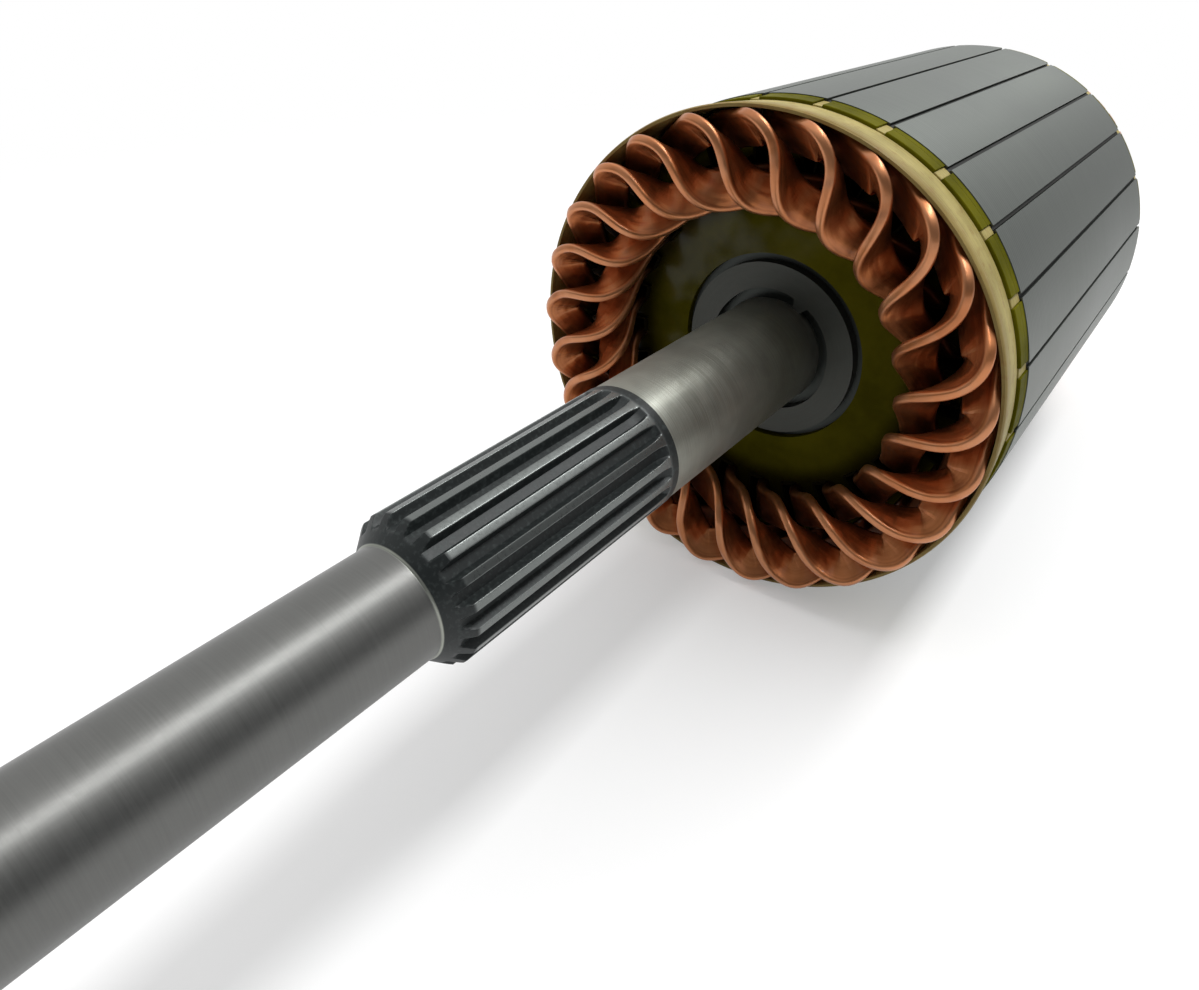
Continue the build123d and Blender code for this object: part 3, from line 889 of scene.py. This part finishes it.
def make_liners():
    """Folded paper round each pair of legs, open outwards and a little proud of the core at both ends."""
    half = SLOT_WIDTH / 2 - 0.01
    wall = (SLOT_WIDTH - STRIP_THICKNESS) / 2
    inner = half - wall
    one_side = [(OUTER_EDGE, inner), (OUTER_EDGE, half), (SLOT_BOTTOM, half)]
    fold = one_side + [(depth, -across) for depth, across in one_side[::-1]]
    fold += [(SLOT_BOTTOM + wall, -inner), (SLOT_BOTTOM + wall, inner)]
    liner = extruded("liner", [on_spoke(FIRST_SLOT, fold)], *span("slot_liners", 1), LINER_PAPER)
    liners = repeat_round("paper_liners", liner, LINER_PAPER, seed=2)
    finish_piece(liners, "liner_paper", "slot_liners")


make_liners()

# %% [markdown]
# ## Washer and bands
# The washer sits against the core, with one tab that reaches in to the shaft. The bands are turned
# rings with softened edges, and the drive-end band opens a little towards the noses that it holds.
# %% Washer


def make_washer():
    """A flat ring with an uneven hole, and the tab that reaches in to the shank."""
    low, high = span("thrust_washer", 1)
    hole, unevenness, tab_angle, tab_half = 7.9, 0.12, 62.0, 0.85
    inner = []
    for angle in np.linspace(0, 360, 120, endpoint=False):
        off = (angle - tab_angle + 180) % 360 - 180
        wave = math.sin(math.radians(angle * 3)) * math.sin(math.radians(angle * 2 + 40))
        radius = hole + unevenness * wave
        if abs(hole * math.radians(off)) < tab_half:
            radius = SHANK_RADIUS + 0.05
        inner.append(polar(radius, angle))
    outlines = [circle(reach("thrust_washer")), inner[::-1]]
    washer = extruded("tabbed_washer", outlines, low, high, WASHER_STEEL, edge=0.1)
    finish_piece(washer, "washer_steel", "thrust_washer")


make_washer()

# %% Bands


def make_band(name, node, way, inside, flare):
    """A band from its core side to its nose side, which opens by a flare. The way is along the shaft."""
    low, high = span(node, 1)
    start = high if way < 0 else low
    width = high - low
    outside = reach(node) - flare
    profile = [(inside, 0), (outside - 0.1, 0), (outside, 0.4), (outside + flare * 0.5, width * 0.5),
               (outside + flare * 0.95, width - 0.8), (outside + flare, width - 0.25),
               (outside + flare - 0.12, width), (inside + flare, width)]
    band = turned_ring(name, [(radius, start + way * along) for radius, along in profile], GLASS_TAPE)
    finish_piece(band, "glass_tape", node)


make_band("drive_end_band", "front_band", -1, FRONT_BAND_INSIDE, FRONT_BAND_FLARE)
make_band("commutator_end_band", "rear_band", 1, REAR_BAND_INSIDE, 0.0)

# %% [markdown]
# ## Commutator
# The commutator end has 25 copper bars held in a dark moulding. Each bar is a wedge with a taller
# riser, and the riser is slotted for the two leads that end there. One bar is built and repeated,
# and the moulding is a turned body with a thin wall between each pair of bars.
# %% Bars and moulding


def sector(inside, outside, half, slot=None, steps=6):
    """A wedge outline in (x, z) pointing along +X, with an optional slot (bottom, half width)."""
    outline = []
    for angle in np.linspace(-half, half, steps):
        x, z = polar(outside, angle)
        if not slot or abs(z) >= slot[1] * 1.02:
            outline.append((x, z))
    if slot:
        bottom, wide = slot
        at = sum(1 for x, z in outline if z < 0)
        edge, wide = on_circle(outside, wide)
        outline[at:at] = [(edge, -wide), (bottom, -wide), (bottom, wide), (edge, wide)]
    return outline + [polar(inside, angle) for angle in np.linspace(half, -half, 4)]


def turned_outline(outline, degrees):
    """An outline in (x, z), turned about the shaft from +X towards +Z."""
    along, beside = polar(1, degrees)
    return [(x * along - z * beside, x * beside + z * along) for x, z in outline]


def make_bars():
    """Each bar is a slotted riser and a lower barrel, joined into one mesh."""
    lead_slot = (INNER_EDGE - LEAD_DROP, STRIP_THICKNESS / 2)
    wedge = turned_outline(sector(BAR_INSIDE, RISER_RADIUS, HALF_BAR, lead_slot, 9), FIRST_SLOT)
    riser = extruded("riser", [wedge], RISER_Y, BARREL_Y, BAR_COPPER, edge=0.1)
    wedge = turned_outline(sector(BAR_INSIDE, BARREL_RADIUS, HALF_BAR), FIRST_SLOT)
    bar = extruded("bar", [wedge], BARREL_Y, BARREL_END_Y, BAR_COPPER, edge=0.12)
    joined = bmesh.new()
    joined.from_mesh(riser.data)
    joined.from_mesh(bar.data)
    joined.to_mesh(bar.data)
    joined.free()
    bpy.data.objects.remove(riser)
    bars = repeat_round("commutator_bars", bar, BAR_COPPER, seed=9)
    finish_piece(bars, "bar_copper", *[f"commutator_bar_{k:02d}" for k in range(1, SLOTS + 1)])


def make_moulding():
    """The turned body that the bars are bedded in."""
    low, high = span("commutator_hub", 1)
    profile = [(SEAT_RADIUS, low), (HUB_RADIUS, low), (HUB_RADIUS, RISER_Y), (BAR_INSIDE, RISER_Y),
               (BAR_INSIDE, BARREL_END_Y), (HUB_RADIUS, BARREL_END_Y), (HUB_RADIUS, high - 0.2),
               (HUB_RADIUS - 0.2, high), (SEAT_RADIUS, high)]
    body = turned_ring("commutator_moulding", profile, MOULDING, 120)
    finish_piece(body, "moulding", "commutator_hub")


def make_walls(name, y_start, y_end, bar_radius):
    """The thin walls of moulding between the bars, a little lower than the bars."""
    inside, top = BAR_INSIDE - 0.2, bar_radius - 0.6
    gap = math.radians((PITCH - 2 * HALF_BAR) / 2)
    foot_half, top_half = BAR_INSIDE * gap, top * gap
    outline = on_spoke(FIRST_SLOT + PITCH / 2, [(inside, -foot_half), (top, -top_half), (top, top_half),
                                                (inside, foot_half)])
    wall = extruded(name + "_one", [outline], y_start, y_end, MOULDING)
    place_piece(repeat_round(name, wall, MOULDING, seed=1))


make_bars()
make_moulding()
make_walls("riser_walls", RISER_Y, BARREL_Y, RISER_RADIUS)
make_walls("bar_walls", BARREL_Y, BARREL_END_Y, BARREL_RADIUS)

# %% [markdown]
# ## Camera
# The photograph was taken close, from the drive end, with a wide lens: the near journal looms and the
# core runs away. The camera's place and lens were found from the round edges of the core and shaft.
# %% Camera at the photograph's angle
PHOTO_WIDTH, PHOTO_HEIGHT = 1199, 990
FOCAL_PIXELS = 853.6
CENTRE_X, CENTRE_Y = 613.3, 428.3
CAMERA_PLACE = (43.8, -12.1, 44.0)
CAMERA_DOWN, CAMERA_ROUND = 29.47, 37.2


def add_camera():
    data = bpy.data.cameras.new("camera")
    data.lens = data.sensor_width * FOCAL_PIXELS / PHOTO_WIDTH
    data.shift_x = (PHOTO_WIDTH / 2 - CENTRE_X) / PHOTO_WIDTH
    data.shift_y = (CENTRE_Y - PHOTO_HEIGHT / 2) / PHOTO_WIDTH
    data.clip_start = 0.005
    camera = bpy.data.objects.new("camera", data)
    camera.location = [side * MM for side in CAMERA_PLACE]
    camera.rotation_euler = (math.radians(90 - CAMERA_DOWN), 0, math.radians(CAMERA_ROUND))
    bpy.context.scene.collection.objects.link(camera)
    bpy.context.scene.camera = camera
    print("lens", round(data.lens, 2), "mm")


add_camera()

# %% [markdown]
# ## Floor, light and background
# The armature lies on a pale floor that touches the bottom of the core. Steel only looks like steel
# when it has something to mirror, so the sky is not even: bright overhead and dim to the sides. The
# camera itself sees plain white there. Far from the armature the floor glows white as well.
# %% Floor


def seen_directly(tree):
    """1 for rays of the camera, of mirrors and of glass, and 0 for the rays that light surfaces."""
    rays = tree.nodes.new("ShaderNodeLightPath")
    camera, glossy, glass = (Value(tree, rays.outputs[f"Is {kind} Ray"]) for kind in
                             ("Camera", "Glossy", "Transmission"))
    return (camera + glossy + glass).sum("MINIMUM", 1.0)


def add_floor():
    size = 20.0
    level = -CORE_RADIUS * MM
    mesh = bpy.data.meshes.new("floor")
    corners = [(-size, -size, level), (size, -size, level), (size, size, level), (-size, size, level)]
    mesh.from_pydata(corners, [], [(0, 1, 2, 3)])
    floor = bpy.data.objects.new("floor", mesh)
    bpy.context.scene.collection.objects.link(floor)
    pale = Finish("pale_floor")
    seen = seen_directly(pale.tree)
    from_middle = pale.y - 0.05
    away = (pale.x * pale.x + from_middle * from_middle).sum("SQRT")
    far = away.above(0.26, 0.14) * seen
    near = seen.tint((0.6, 0.6, 0.6), (0.7, 0.7, 0.7))
    glow = (seen * 0.3).tint((0, 0, 0), (1, 1, 1))
    pale.set(Roughness=1.0, Specular_IOR_Level=0.0, Emission_Color=far.tint(glow, (1, 1, 1)),
             Emission_Strength=1.0, Base_Color=far.tint(near, (0, 0, 0)))
    mesh.materials.append(pale.material)


add_floor()

# %% Lamps and sky


def add_lamp(name, place, size, power):
    """A rectangular lamp that shines straight down."""
    data = bpy.data.lights.new(name, "AREA")
    data.shape = "RECTANGLE"
    data.size, data.size_y = size
    data.energy = power
    lamp = bpy.data.objects.new(name, data)
    lamp.location = place
    bpy.context.scene.collection.objects.link(lamp)


def add_sky():
    world = bpy.data.worlds.new("studio")
    bpy.context.scene.world = world
    world.use_nodes = True
    tree = world.node_tree
    way = Value(tree, tree.nodes.new("ShaderNodeTexCoord").outputs["Generated"])
    x, y, z = way.parts()
    bright = (y * 0.45 + z * 0.77 - x * 0.45).above(0.33, 0.43)
    glow = bright.tint((0.10, 0.105, 0.11), (1.0, 1.0, 1.0))
    camera = Value(tree, tree.nodes.new("ShaderNodeLightPath").outputs["Is Camera Ray"])
    sky = camera.tint(glow, (1.0, 1.0, 1.0))
    tree.links.new(sky.socket, tree.nodes["Background"].inputs["Color"])


add_lamp("strip", (0.15, 0.42, 0.62), size=(0.13, 0.95), power=4.2)
add_sky()
bpy.context.scene.view_settings.view_transform = "Standard"
print("lamps:", [light.name for light in bpy.data.lights])
